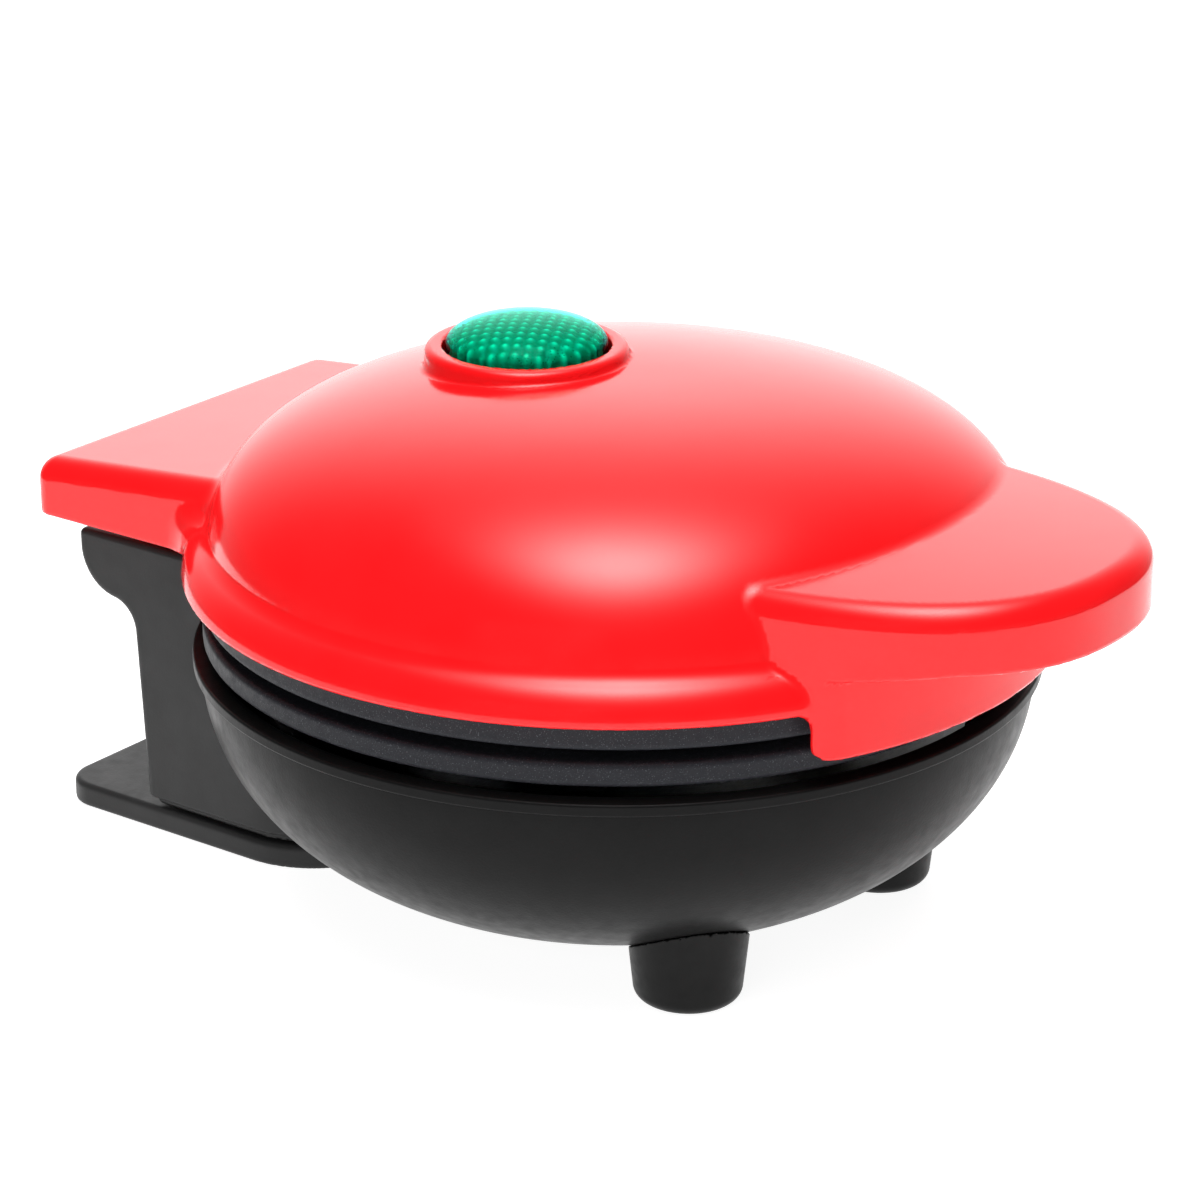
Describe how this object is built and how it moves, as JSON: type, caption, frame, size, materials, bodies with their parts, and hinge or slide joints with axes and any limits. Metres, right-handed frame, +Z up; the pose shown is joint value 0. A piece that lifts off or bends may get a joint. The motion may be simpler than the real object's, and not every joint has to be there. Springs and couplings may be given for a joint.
{
  "type": "donut maker",
  "caption": "Small electric donut maker: a glossy domed lid with a crescent handle and a raised indicator lens, hinged at the rear to a dark bowl base with ring-mould plates between.",
  "frame": {"origin": "middle of the footprint, on the surface the donut maker stands on", "axes": "+Z up; -Y towards the handle at the front, +Y towards the hinge; +X to the right of a person facing the rear from the handle"},
  "size_m": [0.128, 0.1732, 0.0862],
  "materials": {
    "red_gloss": "gloss",
    "green_lens": "clear gloss",
    "black_satin": "satin",
    "black_rubber": "matt",
    "nonstick": "dark non-stick coating",
    "bright_steel": "zinc plated",
    "element_steel": "dull",
    "reflector_aluminium": "mill finish",
    "ceramic": "matt, unglazed ceramic",
    "lead_sleeve": "woven glass sleeve"
  },
  "bodies": {
    "base": {"base_bowl": "black_satin", "rear_arm": "black_satin", "foot_plate": "black_satin", "hinge_pin": "bright_steel", "cord_gland": "black_rubber", "terminal_block": "ceramic", "thermal_fuse": "ceramic", "lower_reflector": "reflector_aluminium", "lower_plate": "nonstick", "lower_element": "element_steel", "lower_thermostat": "element_steel", "rubber_foot_left": "black_rubber", "rubber_foot_right": "black_rubber", "foot_screw_left": "bright_steel", "foot_screw_right": "bright_steel", "arm_screw_left": "bright_steel", "arm_screw_right": "bright_steel", "lower_lead_left": "lead_sleeve", "lower_lead_right": "lead_sleeve", "foot_plate_screw_left_1": "bright_steel", "foot_plate_screw_left_2": "bright_steel", "foot_plate_screw_right_1": "bright_steel", "foot_plate_screw_right_2": "bright_steel", "lower_plate_screw_1": "bright_steel", "lower_plate_screw_2": "bright_steel", "lower_plate_screw_3": "bright_steel"},
    "lid": {"lid_shell": "red_gloss", "indicator_lens": "green_lens", "lens_retainer": "black_satin", "lamp_holder": "ceramic", "indicator_lamp": "green_lens", "upper_plate": "nonstick", "upper_element": "element_steel", "upper_reflector": "reflector_aluminium", "upper_thermostat": "element_steel", "upper_lead_left": "lead_sleeve", "upper_lead_right": "lead_sleeve", "upper_plate_screw_1": "bright_steel", "upper_plate_screw_2": "bright_steel", "upper_plate_screw_3": "bright_steel"}
  },
  "joints": [
    {"name": "lid_hinge", "type": "hinge", "parent": "base", "child": "lid", "pos_m": [0, 0.0721, 0.0446], "axis": [-1, 0, 0], "range_deg": [0, 105]}
  ]
}
